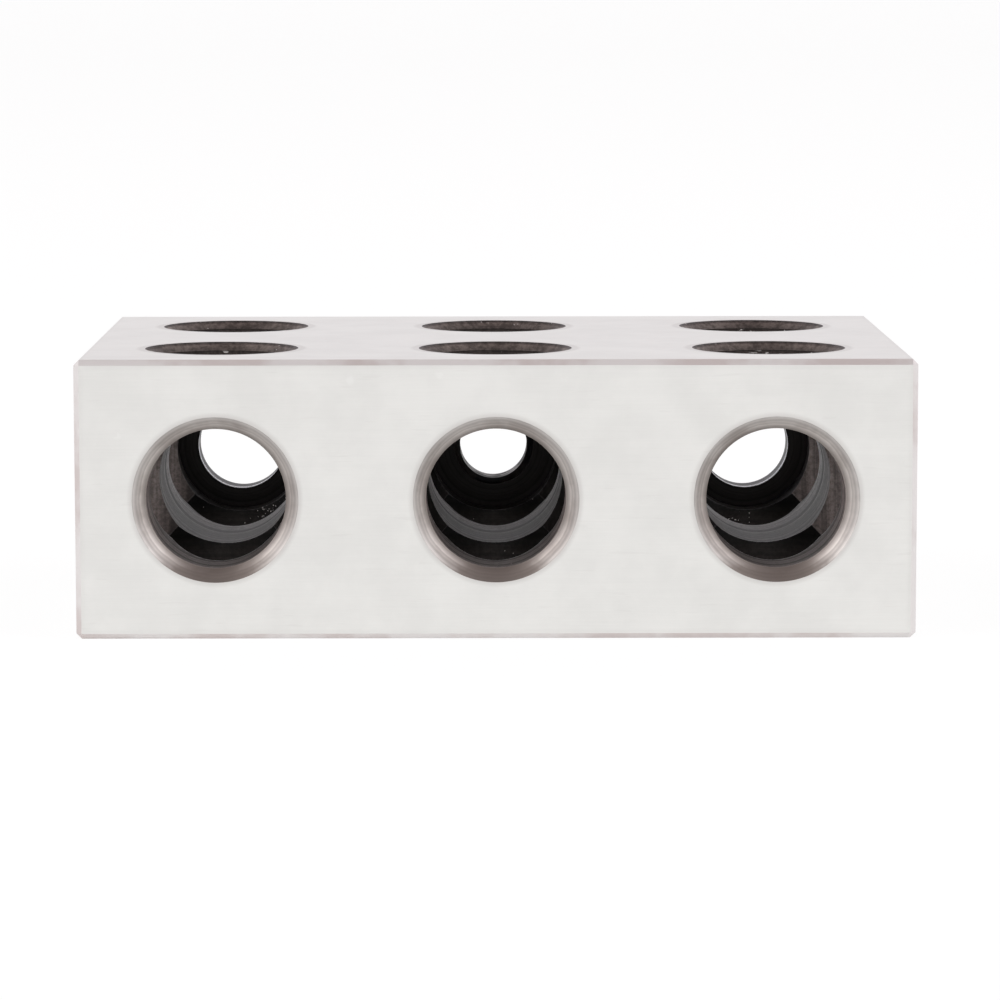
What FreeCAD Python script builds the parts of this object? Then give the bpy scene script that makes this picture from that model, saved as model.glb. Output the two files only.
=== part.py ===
import FreeCAD, Part
import os
import Sketcher

# Machinist setup block: one block of hardened and ground steel, bored on all three axes.
# X runs along the length, Y from the front face to the back face and Z up, all in millimetres.
# The origin is the middle of the bottom face.
#
# The large bores have one diameter and cross at six points halfway up: three columns along X by
# two rows along Y.
#   face bores    go straight up through the large faces, one at every crossing
#   end bores     go the whole length, one along each row
#   front bores   go in from the front, one along each column, and stop at a seat for the head of
#                 a cap screw. In the wall behind the seat the outer columns have a clearance hole
#                 for the screw's shank, and the middle column has a tapped hole
# Every mouth is countersunk and every outer edge is bevelled.

COLUMNS = 3
ROWS = 2
TAPPED_COLUMN = 1

SIZES = (
    ("block_length", 76.2, "ground length along X"),
    ("block_width", 50.8, "ground width along Y"),
    ("block_height", 25.4, "ground height along Z"),
    ("edge_bevel", 0.5, "leg of the bevel on the outer edges"),
    ("bore_diameter", 12.7, "diameter of the large bores"),
    ("column_pitch", 25.4, "spacing of the columns of bores"),
    ("row_pitch", 25.4, "spacing of the rows of bores"),
    ("seat_wall", 4.0, "wall behind the seats of the front bores"),
    ("clearance_diameter", 8.73, "screw clearance holes in the seat wall"),
    ("tap_diameter", 6.75, "core of the tapped hole in the seat wall"),
    ("face_sink", 0.75, "leg of the countersinks on the face bores"),
    ("end_sink", 0.75, "leg of the countersinks on the end bores"),
    ("front_sink", 1.18, "leg of the countersinks on the front bores"),
    ("back_sink", 0.4, "leg of the countersinks on the small holes at the back"),
)

# How far a rim may lie from its face, or its radius from the sheet's, and still be found.
RIM_TOLERANCE = 1e-3


def add_sheet(doc):
    """Put each driving size in a spreadsheet cell with a name of its own."""
    sheet = doc.addObject("Spreadsheet::Sheet", "Sizes")
    for row, (alias, size, note) in enumerate(SIZES, start=1):
        sheet.set(f"A{row}", note)
        sheet.set(f"B{row}", str(size))
        sheet.setAlias(f"B{row}", alias)
    doc.recompute()
    return sheet


def centred(count, pitch):
    """Write one expression for each place in a row of places centred on zero."""
    return [f"{place - (count - 1) / 2} * {pitch}" for place in range(count)]


def add_sketch(body, name, plane, offset):
    """Attach a sketch to one of the body's origin planes, moved along its normal."""
    support = next(item for item in body.Origin.OriginFeatures if item.Role == plane)
    sketch = body.newObject("Sketcher::SketchObject", name)
    sketch.AttachmentSupport = (support, [""])
    sketch.MapMode = "FlatFace"
    sketch.setExpression("AttachmentOffset.Base.z", offset)
    return sketch


def drive(sketch, name, constraint, expression):
    """Add a dimension to a sketch and bind it to an expression."""
    index = sketch.addConstraint(constraint)
    sketch.renameConstraint(index, name)
    sketch.setExpression(f"Constraints.{name}", expression)


def draw_outline(sketch):
    """Draw the block's plan, centred on the sketch's origin."""
    corners = [FreeCAD.Vector(x, y, 0) for x, y in ((-1, -1), (1, -1), (1, 1), (-1, 1))]
    for start, end in zip(corners, corners[1:] + corners[:1]):
        sketch.addGeometry(Part.LineSegment(start, end), False)
    for side in range(4):
        sketch.addConstraint(Sketcher.Constraint("Coincident", side, 2, (side + 1) % 4, 1))
        direction = "Vertical" if side % 2 else "Horizontal"
        sketch.addConstraint(Sketcher.Constraint(direction, side))
    sketch.addConstraint(Sketcher.Constraint("Symmetric", 0, 1, 2, 1, -1, 1))
    drive(sketch, "length", Sketcher.Constraint("DistanceX", 0, 1, 0, 2, 2.0), "Sizes.block_length")
    drive(sketch, "width", Sketcher.Constraint("DistanceY", 1, 1, 1, 2, 2.0), "Sizes.block_width")


def draw_circles(sketch, centres, diameter):
    """Draw one circle for each pair of expressions, all of one diameter."""
    for index, (across, up) in enumerate(centres):
        sketch.addGeometry(Part.Circle(FreeCAD.Vector(1, 1, 0), FreeCAD.Vector(0, 0, 1), 1), False)
        place_across = Sketcher.Constraint("DistanceX", -1, 1, index, 3, 1.0)
        place_up = Sketcher.Constraint("DistanceY", -1, 1, index, 3, 1.0)
        drive(sketch, f"across_{index}", place_across, across)
        drive(sketch, f"up_{index}", place_up, up)
        if index:
            sketch.addConstraint(Sketcher.Constraint("Equal", 0, index))
    drive(sketch, "diameter", Sketcher.Constraint("Diameter", 0, 2.0), diameter)


def add_block(body):
    """Pad the plain block up from the bottom face."""
    outline = add_sketch(body, "block_plan", "XY_Plane", "0 mm")
    draw_outline(outline)
    block = body.newObject("PartDesign::Pad", "block")
    block.Profile = outline
    block.setExpression("Length", "Sizes.block_height")
    body.Document.recompute()


def add_bevel(body, name, edges, leg):
    """Bevel edges of the last feature at 45 degrees."""
    last = body.Tip
    bevel = body.newObject("PartDesign::Chamfer", name)
    bevel.Base = (last, edges)
    bevel.setExpression("Size", leg)
    body.Document.recompute()


def add_bores(body, name, plane, offset, centres, diameter):
    """Drill through holes of one diameter square to a plane, from one outer face to the other."""
    sketch = add_sketch(body, f"{name}_centres", plane, offset)
    draw_circles(sketch, centres, diameter)
    bores = body.newObject("PartDesign::Hole", name)
    bores.Profile = sketch
    body.Document.recompute()
    bores.DepthType = "ThroughAll"
    bores.setExpression("Diameter", diameter)
    body.Document.recompute()
    return bores


def add_seats(bores):
    """Open bores from the front to the large diameter, down to the seat."""
    bores.HoleCutType = "Counterbore"
    bores.HoleCutCustomValues = True
    bores.setExpression("HoleCutDiameter", "Sizes.bore_diameter")
    bores.setExpression("HoleCutDepth", "Sizes.block_width - Sizes.seat_wall")
    bores.Document.recompute()


def rims(shape, axis, level, diameter):
    """Name the circular edges of one diameter that lie on an outer face square to an axis."""
    names = []
    for number, edge in enumerate(shape.Edges, start=1):
        if not isinstance(edge.Curve, Part.Circle):
            continue
        off_face = abs(edge.Curve.Center[axis] - level)
        off_size = abs(2 * edge.Curve.Radius - diameter)
        if off_face < RIM_TOLERANCE and off_size < RIM_TOLERANCE:
            names.append(f"Edge{number}")
    return names


def build_setup_block(doc, sheet):
    """Build the block as one body: the solid, its bevels, its bores and their countersinks."""
    body = doc.addObject("PartDesign::Body", "setup_block")
    body.Label = "setup_block"
    body.Placement = FreeCAD.Placement()

    add_block(body)
    outer_edges = [f"Edge{number + 1}" for number in range(len(body.Tip.Shape.Edges))]
    add_bevel(body, "edge_bevels", outer_edges, "Sizes.edge_bevel")

    columns = centred(COLUMNS, "Sizes.column_pitch")
    rows = centred(ROWS, "Sizes.row_pitch")
    halfway_up = "Sizes.block_height / 2"
    grid = [(column, row) for row in rows for column in columns]
    add_bores(body, "face_bores", "XY_Plane", "Sizes.block_height", grid, "Sizes.bore_diameter")

    ends = [(row, halfway_up) for row in rows]
    add_bores(body, "end_bores", "YZ_Plane", "Sizes.block_length / 2", ends, "Sizes.bore_diameter")

    fronts = [(column, halfway_up) for column in columns]
    tapped = [fronts.pop(TAPPED_COLUMN)]
    front = "Sizes.block_width / 2"
    add_seats(add_bores(body, "clearance_bores", "XZ_Plane", front, fronts, "Sizes.clearance_diameter"))
    add_seats(add_bores(body, "tapped_bore", "XZ_Plane", front, tapped, "Sizes.tap_diameter"))

    end, side, top = sheet.block_length / 2, sheet.block_width / 2, sheet.block_height
    mouths = (
        ("face_sinks", "Sizes.face_sink", ((2, 0, "bore_diameter"), (2, top, "bore_diameter"))),
        ("end_sinks", "Sizes.end_sink", ((0, -end, "bore_diameter"), (0, end, "bore_diameter"))),
        ("front_sinks", "Sizes.front_sink", ((1, -side, "bore_diameter"),)),
        ("back_sinks", "Sizes.back_sink", ((1, side, "clearance_diameter"), (1, side, "tap_diameter"))),
    )
    for name, leg, places in mouths:
        edges = []
        for axis, level, size in places:
            edges += rims(body.Tip.Shape, axis, level, getattr(sheet, size))
        add_bevel(body, name, edges, leg)
    return body


def check_document(doc, body):
    """Stop if an object failed, or if a bevel or a bore took nothing off the block."""
    for item in doc.Objects:
        if {"Invalid", "Error"} & set(item.State):
            raise RuntimeError(f"{item.Name} is {item.State}")
    for item in body.Group:
        cut = item.TypeId in ("PartDesign::Chamfer", "PartDesign::Hole")
        if cut and item.Shape.Volume >= item.BaseFeature.Shape.Volume:
            raise RuntimeError(f"{item.Name} cuts nothing")
    if body.Shape.isNull() or not body.Shape.isValid() or len(body.Shape.Solids) != 1:
        raise RuntimeError(f"{body.Label} is not one valid solid")


def main():
    """Build the document and write the block's solid."""
    os.makedirs("parts", exist_ok=True)
    doc = FreeCAD.newDocument("machinist_setup_block")
    sheet = add_sheet(doc)
    body = build_setup_block(doc, sheet)
    doc.recompute()
    check_document(doc, body)
    body.Shape.exportStep(f"parts/{body.Label}.step")


main()
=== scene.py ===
"""A machinist's setup block in ground steel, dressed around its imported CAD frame.

The block is one solid: a bevelled slab with six face bores, two end bores and three stepped front
bores that cross each other, every mouth countersunk, and the middle front bore tapped at its far end.
Lengths are in metres, and the block stands on z = 0 with its front face towards -y.
"""
import logging
import math
from dataclasses import dataclass, field
from enum import Enum
from typing import Any

import bmesh
import bpy
import numpy as np
from mathutils import Matrix, Vector


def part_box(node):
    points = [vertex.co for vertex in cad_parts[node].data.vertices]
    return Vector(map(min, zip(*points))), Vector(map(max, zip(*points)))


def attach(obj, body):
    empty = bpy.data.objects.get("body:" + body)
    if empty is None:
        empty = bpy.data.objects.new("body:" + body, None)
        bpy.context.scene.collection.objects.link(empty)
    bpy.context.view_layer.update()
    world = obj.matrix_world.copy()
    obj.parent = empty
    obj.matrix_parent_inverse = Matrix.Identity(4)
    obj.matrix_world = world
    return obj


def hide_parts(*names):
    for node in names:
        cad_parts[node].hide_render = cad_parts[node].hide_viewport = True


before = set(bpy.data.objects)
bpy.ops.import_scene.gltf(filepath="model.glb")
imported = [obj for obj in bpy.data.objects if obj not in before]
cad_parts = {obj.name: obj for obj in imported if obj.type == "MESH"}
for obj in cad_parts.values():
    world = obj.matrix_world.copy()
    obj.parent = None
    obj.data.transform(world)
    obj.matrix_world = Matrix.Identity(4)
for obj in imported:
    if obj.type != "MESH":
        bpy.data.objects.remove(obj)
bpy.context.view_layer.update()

MM = 0.001
NODE = "setup_block"
BODY = "root"

log = logging.getLogger("setup_block")
Colour = tuple[float, float, float]


class Axis(Enum):
    """The way a bore runs through the block, as the index of its coordinate."""

    X = 0
    Y = 1
    Z = 2


class Wiring:
    """Adds nodes to one tree and joins them in the order in which they are written."""

    def __init__(self, tree: bpy.types.NodeTree) -> None:
        """Keeps the tree that the nodes go into."""
        self.tree = tree

    def add(self, kind: str, inputs: dict[int | str, Any] | None = None, **settings: Any) -> bpy.types.Node:
        """Adds a node and fills its inputs.

        Args:
            kind: Blender's name for the type of node.
            inputs: a value, a socket or a list of sockets for each input, by name or by place.
            settings: the node's own properties.

        Returns:
            The new node.
        """
        node = self.tree.nodes.new(kind)
        for name, value in settings.items():
            setattr(node, name, value)
        for key, value in (inputs or {}).items():
            for one in value if isinstance(value, list) else [value]:
                if isinstance(one, bpy.types.NodeSocket):
                    self.tree.links.new(one, node.inputs[key])
                else:
                    node.inputs[key].default_value = one
        return node

    def math(self, operation: str, first: Any, second: Any = 0.0, third: Any = 0.0) -> bpy.types.NodeSocket:
        """Adds a Math node.

        Args:
            operation: the name of the operation.
            first: its first value or socket.
            second: its second value or socket.
            third: its third value or socket.

        Returns:
            The result's socket.
        """
        return self.add("ShaderNodeMath", {0: first, 1: second, 2: third}, operation=operation).outputs[0]

    def ramp(self, value: Any, low: float, high: float, start: float = 0.0, end: float = 1.0
             ) -> bpy.types.NodeSocket:
        """Maps a value smoothly from one range to another.

        Args:
            value: the socket that is mapped.
            low: the value that gives start.
            high: the value that gives end.
            start: the result at low and beyond it.
            end: the result at high and beyond it.

        Returns:
            The result's socket.
        """
        inputs = {0: value, 1: low, 2: high, 3: start, 4: end}
        return self.add("ShaderNodeMapRange", inputs, interpolation_type="SMOOTHSTEP").outputs[0]

    def tint(self, factor: Any, base: Any, other: Any, way: str = "MIX") -> bpy.types.NodeSocket:
        """Lays one colour over another.

        Args:
            factor: how much of the other colour shows.
            base: the colour below.
            other: the colour on top.
            way: the blend type.

        Returns:
            The mixed colour's socket.
        """
        colours = [c if isinstance(c, bpy.types.NodeSocket) else (*c, 1.0) for c in (base, other)]
        inputs = {0: factor, 6: colours[0], 7: colours[1]}
        return self.add("ShaderNodeMix", inputs, data_type="RGBA", blend_type=way).outputs[2]

    def noise(self, vector: Any, scale: float, detail: float = 2.0, roughness: float = 0.5
              ) -> bpy.types.NodeSocket:
        """Adds a noise pattern with its scale in turns per metre.

        Args:
            vector: the place that the pattern is read at.
            scale: how many features lie in a metre.
            detail: how many octaves it has.
            roughness: how strong the finer octaves are.

        Returns:
            The pattern's value, about 0.5 on average.
        """
        inputs = {"Vector": vector, "Scale": scale, "Detail": detail, "Roughness": roughness}
        return self.add("ShaderNodeTexNoise", inputs).outputs["Fac"]

    def grey(self, value: Any) -> bpy.types.NodeSocket:
        """Makes a grey of a value, and returns its socket."""
        return self.add("ShaderNodeCombineColor", {0: value, 1: value, 2: value}).outputs[0]

    def stretch(self, vector: Any, scale: tuple[float, float, float]) -> bpy.types.NodeSocket:
        """Scales a vector by a different amount on each axis, and returns its socket."""
        return self.add("ShaderNodeVectorMath", {0: vector, 1: scale}, operation="MULTIPLY").outputs[0]


def open_group(name: str, kind: str, inputs: dict[str, tuple[str, Any]], outputs: dict[str, str]
               ) -> tuple[Wiring, dict[str, bpy.types.NodeSocket], bpy.types.Node]:
    """Makes a node group with named sockets.

    Args:
        name: the group's name.
        kind: ShaderNodeTree or GeometryNodeTree.
        inputs: the type and the default value of each input, by name.
        outputs: the type of each output, by name.

    Returns:
        The wiring of the group, its inputs by name, and its output node.
    """
    tree = bpy.data.node_groups.new(name, kind)
    for label, (socket_type, value) in inputs.items():
        socket = tree.interface.new_socket(label, in_out="INPUT", socket_type=socket_type)
        if value is not None:
            socket.default_value = value
    for label, socket_type in outputs.items():
        tree.interface.new_socket(label, in_out="OUTPUT", socket_type=socket_type)
    wiring = Wiring(tree)
    entry = wiring.add("NodeGroupInput")
    exit_node = wiring.add("NodeGroupOutput")
    return wiring, {label: entry.outputs[label] for label in inputs}, exit_node


@dataclass(frozen=True)
class BoreLayout:
    """The slab and the bore grid that the block's shape and its finishes share."""

    length: float
    width: float
    height: float
    radius: float = 6.35 * MM
    pitch: float = 25.4 * MM

    @property
    def middle(self) -> float:
        """Returns the height of the end bores' and front bores' axes."""
        return self.height / 2


class Effects:
    """The node groups that several steel finishes share."""

    def __init__(self, layout: BoreLayout) -> None:
        """Builds each group once, for the bores of this layout."""
        self.layout = layout
        self.crossings = self._crossings()
        self.edges = self._edges()
        self.grinding = self._grinding()
        self.turning = self._turning()
        self.swarf = self._swarf()

    def _crossings(self) -> bpy.types.NodeTree:
        """Gives the distance from a point to the wall of the nearest bore of each family.

        Returns:
            The group. Near Edge is the distance to the nearest edge where two bores meet, and Mouth the
            distance out from the nearest bore wall.
        """
        length = "NodeSocketFloat"
        wiring, given, out = open_group(
            "bore_crossings", "ShaderNodeTree",
            {"Vector": ("NodeSocketVector", None), "Radius": (length, self.layout.radius),
             "Pitch": (length, self.layout.pitch), "Middle": (length, self.layout.middle)},
            {"Face Bore": length, "End Bore": length, "Front Bore": length, "Near Edge": length,
             "Mouth": length})
        split = wiring.add("ShaderNodeSeparateXYZ", {0: given["Vector"]})
        half = wiring.math("MULTIPLY", given["Pitch"], 0.5)
        back = wiring.math("MULTIPLY", given["Pitch"], -0.5)
        across = wiring.math("WRAP", split.outputs[0], half, back)
        along = wiring.math("SUBTRACT", wiring.math("ABSOLUTE", split.outputs[1]), half)
        up = wiring.math("SUBTRACT", split.outputs[2], given["Middle"])
        walls = []
        for label, (one, two) in {"Face Bore": (across, along), "End Bore": (along, up),
                                  "Front Bore": (across, up)}.items():
            squares = wiring.math("MULTIPLY_ADD", one, one, wiring.math("MULTIPLY", two, two))
            wall = wiring.math("SUBTRACT", wiring.math("SQRT", squares), given["Radius"])
            wiring.tree.links.new(wall, out.inputs[label])
            walls.append(wall)
        first, second, third = (wiring.math("ABSOLUTE", wall) for wall in walls)
        low = wiring.math("MINIMUM", first, second)
        high = wiring.math("MAXIMUM", first, second)
        near = wiring.math("MAXIMUM", low, wiring.math("MINIMUM", high, third))
        wiring.tree.links.new(near, out.inputs["Near Edge"])
        mouth = wiring.math("MINIMUM", wiring.math("MINIMUM", walls[0], walls[1]), walls[2])
        wiring.tree.links.new(mouth, out.inputs["Mouth"])
        return wiring.tree

    def _edges(self) -> bpy.types.NodeTree:
        """Gives the distance from a point on an outer face to the nearest edge of the slab.

        Returns:
            The group.
        """
        length = "NodeSocketFloat"
        wiring, given, out = open_group(
            "slab_edges", "ShaderNodeTree",
            {"Vector": ("NodeSocketVector", None), "Length": (length, self.layout.length),
             "Width": (length, self.layout.width), "Height": (length, self.layout.height)},
            {"Distance": length})
        split = wiring.add("ShaderNodeSeparateXYZ", {0: given["Vector"]})
        up = wiring.math("MULTIPLY_ADD", given["Height"], -0.5, split.outputs[2])
        places = {"Length": split.outputs[0], "Width": split.outputs[1], "Height": up}
        gaps = []
        for side, place in places.items():
            half = wiring.math("MULTIPLY", given[side], 0.5)
            gaps.append(wiring.math("SUBTRACT", half, wiring.math("ABSOLUTE", place)))
        low, high = wiring.math("MINIMUM", gaps[0], gaps[1]), wiring.math("MAXIMUM", gaps[0], gaps[1])
        near = wiring.math("MAXIMUM", low, wiring.math("MINIMUM", high, gaps[2]))
        wiring.tree.links.new(near, out.inputs["Distance"])
        return wiring.tree

    def _grinding(self) -> bpy.types.NodeTree:
        """Gives the fine parallel marks and the faint clouding of a surface-ground face.

        Returns:
            The group, with its marks along the block's length, and across it on the two ends.
        """
        number = "NodeSocketFloat"
        wiring, given, out = open_group(
            "grinding_marks", "ShaderNodeTree",
            {"Vector": ("NodeSocketVector", None), "Normal": ("NodeSocketVector", None)},
            {"Marks": number, "Clouds": number, "Scratches": number})
        turned = wiring.math("ABSOLUTE", wiring.add("ShaderNodeSeparateXYZ", {0: given["Normal"]}).outputs[0])
        long_way = wiring.stretch(given["Vector"], (0.02, 1.0, 1.0))
        cross_way = wiring.stretch(given["Vector"], (1.0, 0.02, 1.0))
        pick = {0: turned, 4: long_way, 5: cross_way}
        lines = wiring.add("ShaderNodeMix", pick, data_type="VECTOR").outputs[1]
        fine = wiring.noise(lines, 9000.0, 3.0, 0.65)
        broad = wiring.noise(lines, 1400.0, 2.0, 0.5)
        wiring.tree.links.new(wiring.math("MULTIPLY_ADD", broad, 0.4, wiring.math("MULTIPLY", fine, 0.6)),
                              out.inputs["Marks"])
        wiring.tree.links.new(wiring.noise(given["Vector"], 160.0, 5.0, 0.62), out.inputs["Clouds"])
        slanted = wiring.stretch(given["Vector"], (0.12, 1.6, 1.3))
        hairs = wiring.noise(slanted, 2600.0, 1.0, 0.4)
        wiring.tree.links.new(wiring.ramp(hairs, 0.70, 0.76), out.inputs["Scratches"])
        return wiring.tree

    def _turning(self) -> bpy.types.NodeTree:
        """Gives the rings that a drill or a countersink leaves along a coordinate.

        Returns:
            The group. Feed is the distance between two rings, and Wander how far they stray.
        """
        number = "NodeSocketFloat"
        wiring, given, out = open_group(
            "turning_rings", "ShaderNodeTree",
            {"Vector": ("NodeSocketVector", None), "Along": (number, 0.0), "Feed": (number, 0.2 * MM),
             "Wander": (number, 0.05 * MM)},
            {"Rings": number, "Bands": number})
        stray = wiring.math("SUBTRACT", wiring.noise(given["Vector"], 420.0, 2.0), 0.5)
        place = wiring.math("MULTIPLY_ADD", stray, given["Wander"], given["Along"])
        turns = wiring.math("DIVIDE", place, given["Feed"])
        line = wiring.add("ShaderNodeCombineXYZ", {0: turns, 1: 2.9, 2: 3.6})
        rings = wiring.noise(line.outputs[0], 1.0, 3.0, 0.7)
        bands = wiring.noise(line.outputs[0], 0.17, 2.0, 0.6)
        wiring.tree.links.new(rings, out.inputs["Rings"])
        wiring.tree.links.new(bands, out.inputs["Bands"])
        return wiring.tree

    def _swarf(self) -> bpy.types.NodeTree:
        """Gives the bright specks of torn metal and oil that stay in a drilled wall.

        Returns:
            The group. Amount is the share of the grains that shine, Spread how far they leave their
            patches, from 0 to 1, and Tilt the way that each grain leans.
        """
        number = "NodeSocketFloat"
        wiring, given, out = open_group(
            "swarf_specks", "ShaderNodeTree",
            {"Vector": ("NodeSocketVector", None), "Amount": (number, 0.4), "Grain": (number, 3500.0),
             "Spread": (number, 0.0)},
            {"Specks": number, "Patches": number, "Tilt": "NodeSocketVector"})
        curl = wiring.add("ShaderNodeTexNoise", {"Vector": given["Vector"], "Scale": 2400.0, "Detail": 1.0})
        swept = wiring.stretch(curl.outputs["Color"], (0.45 * MM, 0.45 * MM, 0.45 * MM))
        bent = wiring.add("ShaderNodeVectorMath", {0: given["Vector"], 1: swept}, operation="ADD").outputs[0]
        cells = wiring.add("ShaderNodeTexVoronoi", {"Vector": bent, "Scale": given["Grain"]})
        core = wiring.ramp(cells.outputs["Distance"], 0.30, 0.12)
        chance = wiring.add("ShaderNodeSeparateXYZ", {0: cells.outputs["Color"]}).outputs[0]
        limit = wiring.math("SUBTRACT", 1.0, given["Amount"])
        patches = wiring.ramp(wiring.noise(given["Vector"], 260.0, 3.0, 0.6), 0.46, 0.60)
        field_of = wiring.math("MAXIMUM", patches, given["Spread"])
        kept = wiring.math("GREATER_THAN", wiring.math("MULTIPLY", chance, field_of), limit)
        specks = wiring.math("MULTIPLY", core, kept)
        wiring.tree.links.new(specks, out.inputs["Specks"])
        wiring.tree.links.new(patches, out.inputs["Patches"])
        centred = wiring.add("ShaderNodeVectorMath", {0: cells.outputs["Color"], 1: (0.5, 0.5, 0.5)},
                             operation="SUBTRACT")
        tilt = wiring.add("ShaderNodeVectorMath", {0: centred.outputs[0], "Scale": specks}, operation="SCALE")
        wiring.tree.links.new(tilt.outputs[0], out.inputs["Tilt"])
        return wiring.tree


@dataclass(frozen=True)
class Finish:
    """One steel finish: its colour, its gloss and the way it is laid on."""

    name: str
    colour: Colour
    roughness: float
    metallic: float = 1.0
    specular: float = 0.5

    def make(self, effects: Effects) -> bpy.types.Material:
        """Builds the material.

        Args:
            effects: the shared node groups.

        Returns:
            The material, named after the finish.
        """
        material = bpy.data.materials.new(self.name)
        material.use_nodes = True
        material.node_tree.nodes.clear()
        wiring = Wiring(material.node_tree)
        place = wiring.add("ShaderNodeTexCoord").outputs["Object"]
        steel = wiring.add("ShaderNodeBsdfPrincipled",
                           {"Metallic": self.metallic, "Specular IOR Level": self.specular})
        output = wiring.add("ShaderNodeOutputMaterial")
        wiring.tree.links.new(steel.outputs[0], output.inputs[0])
        self.lay_on(wiring, place, steel, effects)
        return material

    def lay_on(self, wiring: Wiring, place: bpy.types.NodeSocket, steel: bpy.types.Node,
               effects: Effects) -> None:
        """Joins the finish's own pattern to the shader.

        Args:
            wiring: the material's wiring.
            place: the object coordinates.
            steel: the Principled BSDF.
            effects: the shared node groups.
        """
        raise NotImplementedError

    @staticmethod
    def group(wiring: Wiring, tree: bpy.types.NodeTree, inputs: dict[str, Any]) -> bpy.types.Node:
        """Adds a node that holds a shared group, with its inputs filled, and returns it."""
        node = wiring.add("ShaderNodeGroup", node_tree=tree)
        for name, value in inputs.items():
            if isinstance(value, bpy.types.NodeSocket):
                wiring.tree.links.new(value, node.inputs[name])
            else:
                node.inputs[name].default_value = value
        return node

    @staticmethod
    def bump(wiring: Wiring, steel: bpy.types.Node, height: bpy.types.NodeSocket, distance: float,
             strength: float = 1.0, lean: bpy.types.NodeSocket | None = None) -> None:
        """Raises the surface by a height of 0 to 1 times distance, in metres, and leans its normal."""
        inputs = {"Strength": strength, "Distance": distance, "Height": height}
        if lean is not None:
            upright = wiring.add("ShaderNodeNewGeometry").outputs["Normal"]
            leaning = wiring.add("ShaderNodeVectorMath", {0: upright, 1: lean}, operation="ADD")
            unit = wiring.add("ShaderNodeVectorMath", {0: leaning.outputs[0]}, operation="NORMALIZE")
            inputs["Normal"] = unit.outputs[0]
        wiring.tree.links.new(wiring.add("ShaderNodeBump", inputs).outputs[0], steel.inputs["Normal"])


@dataclass(frozen=True)
class GroundFace(Finish):
    """The six surface-ground faces: pale and satin, with marks too fine to feel."""

    # The colour of the scratch wear, and of the painted shade at the bore mouths and slab edges.
    wear: Colour = (0.40, 0.36, 0.345)
    mouth_width: float = 1.18 * MM

    def lay_on(self, wiring: Wiring, place: bpy.types.NodeSocket, steel: bpy.types.Node,
               effects: Effects) -> None:
        """Joins marks, clouding, handling marks, scratch wear, and painted shade at the mouths and edges to the
        shader.

        Args:
            wiring: the material's wiring.
            place: the object coordinates.
            steel: the Principled BSDF.
            effects: the shared node groups.
        """
        normal = wiring.add("ShaderNodeNewGeometry").outputs["True Normal"]
        marks = self.group(wiring, effects.grinding, {"Vector": place, "Normal": normal})
        bores = self.group(wiring, effects.crossings, {"Vector": place})
        slab = self.group(wiring, effects.edges, {"Vector": place})
        shade = tuple(channel * 0.965 for channel in self.colour)
        light = tuple(min(channel * 1.02, 1.0) for channel in self.colour)
        colour = wiring.tint(wiring.ramp(marks.outputs["Clouds"], 0.32, 0.68), shade, light)
        streaks = wiring.ramp(marks.outputs["Marks"], 0.35, 0.65, 0.985, 1.01)
        colour = wiring.tint(1.0, colour, wiring.grey(streaks), "MULTIPLY")
        handled = self.group(wiring, effects.swarf, {"Vector": place, "Amount": 0.10, "Grain": 620.0})
        touched = wiring.math("MULTIPLY", handled.outputs["Specks"], 0.22)
        colour = wiring.tint(touched, colour, (0.92, 0.92, 0.90))
        colour = wiring.tint(wiring.math("MULTIPLY", marks.outputs["Scratches"], 0.05), colour, self.wear)
        # Painted shade: the face darkens towards each bore mouth and each slab edge, as if shaded by the dark
        # countersink and bevel.
        mouth = wiring.ramp(bores.outputs["Mouth"], self.mouth_width + 0.55 * MM, self.mouth_width, 0.0, 0.30)
        depth = wiring.add("ShaderNodeSeparateXYZ", {0: place}).outputs[1]
        mouth = wiring.math("MULTIPLY", mouth, wiring.math("LESS_THAN", depth, effects.layout.width / 2 - 0.1 * MM))
        edge = wiring.ramp(slab.outputs["Distance"], 1.1 * MM, 0.5 * MM, 0.0, 0.07)
        colour = wiring.tint(wiring.math("MAXIMUM", mouth, edge), colour, self.wear)
        wiring.tree.links.new(colour, steel.inputs["Base Color"])
        gloss = wiring.ramp(marks.outputs["Marks"], 0.3, 0.7, self.roughness - 0.05, self.roughness + 0.05)
        wiring.tree.links.new(gloss, steel.inputs["Roughness"])
        self.bump(wiring, steel, marks.outputs["Marks"], 0.003 * MM, 0.2)


@dataclass(frozen=True)
class BevelSteel(Finish):
    """The narrow bevels along the edges: stoned by hand and a little stained."""

    stain: Colour = (0.64, 0.575, 0.555)

    def lay_on(self, wiring: Wiring, place: bpy.types.NodeSocket, steel: bpy.types.Node,
               effects: Effects) -> None:
        """Joins a brown stain in long soft patches to the shader.

        Args:
            wiring: the material's wiring.
            place: the object coordinates.
            steel: the Principled BSDF.
            effects: the shared node groups.
        """
        normal = wiring.add("ShaderNodeNewGeometry").outputs["True Normal"]
        marks = self.group(wiring, effects.grinding, {"Vector": place, "Normal": normal})
        stains = wiring.ramp(wiring.noise(place, 110.0, 4.0, 0.6), 0.42, 0.62)
        colour = wiring.tint(wiring.math("MULTIPLY", stains, 0.8), self.colour, self.stain)
        wiring.tree.links.new(colour, steel.inputs["Base Color"])
        gloss = wiring.ramp(marks.outputs["Marks"], 0.3, 0.7, self.roughness - 0.08, self.roughness + 0.08)
        wiring.tree.links.new(gloss, steel.inputs["Roughness"])
        self.bump(wiring, steel, marks.outputs["Marks"], 0.006 * MM, 0.3)


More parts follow.
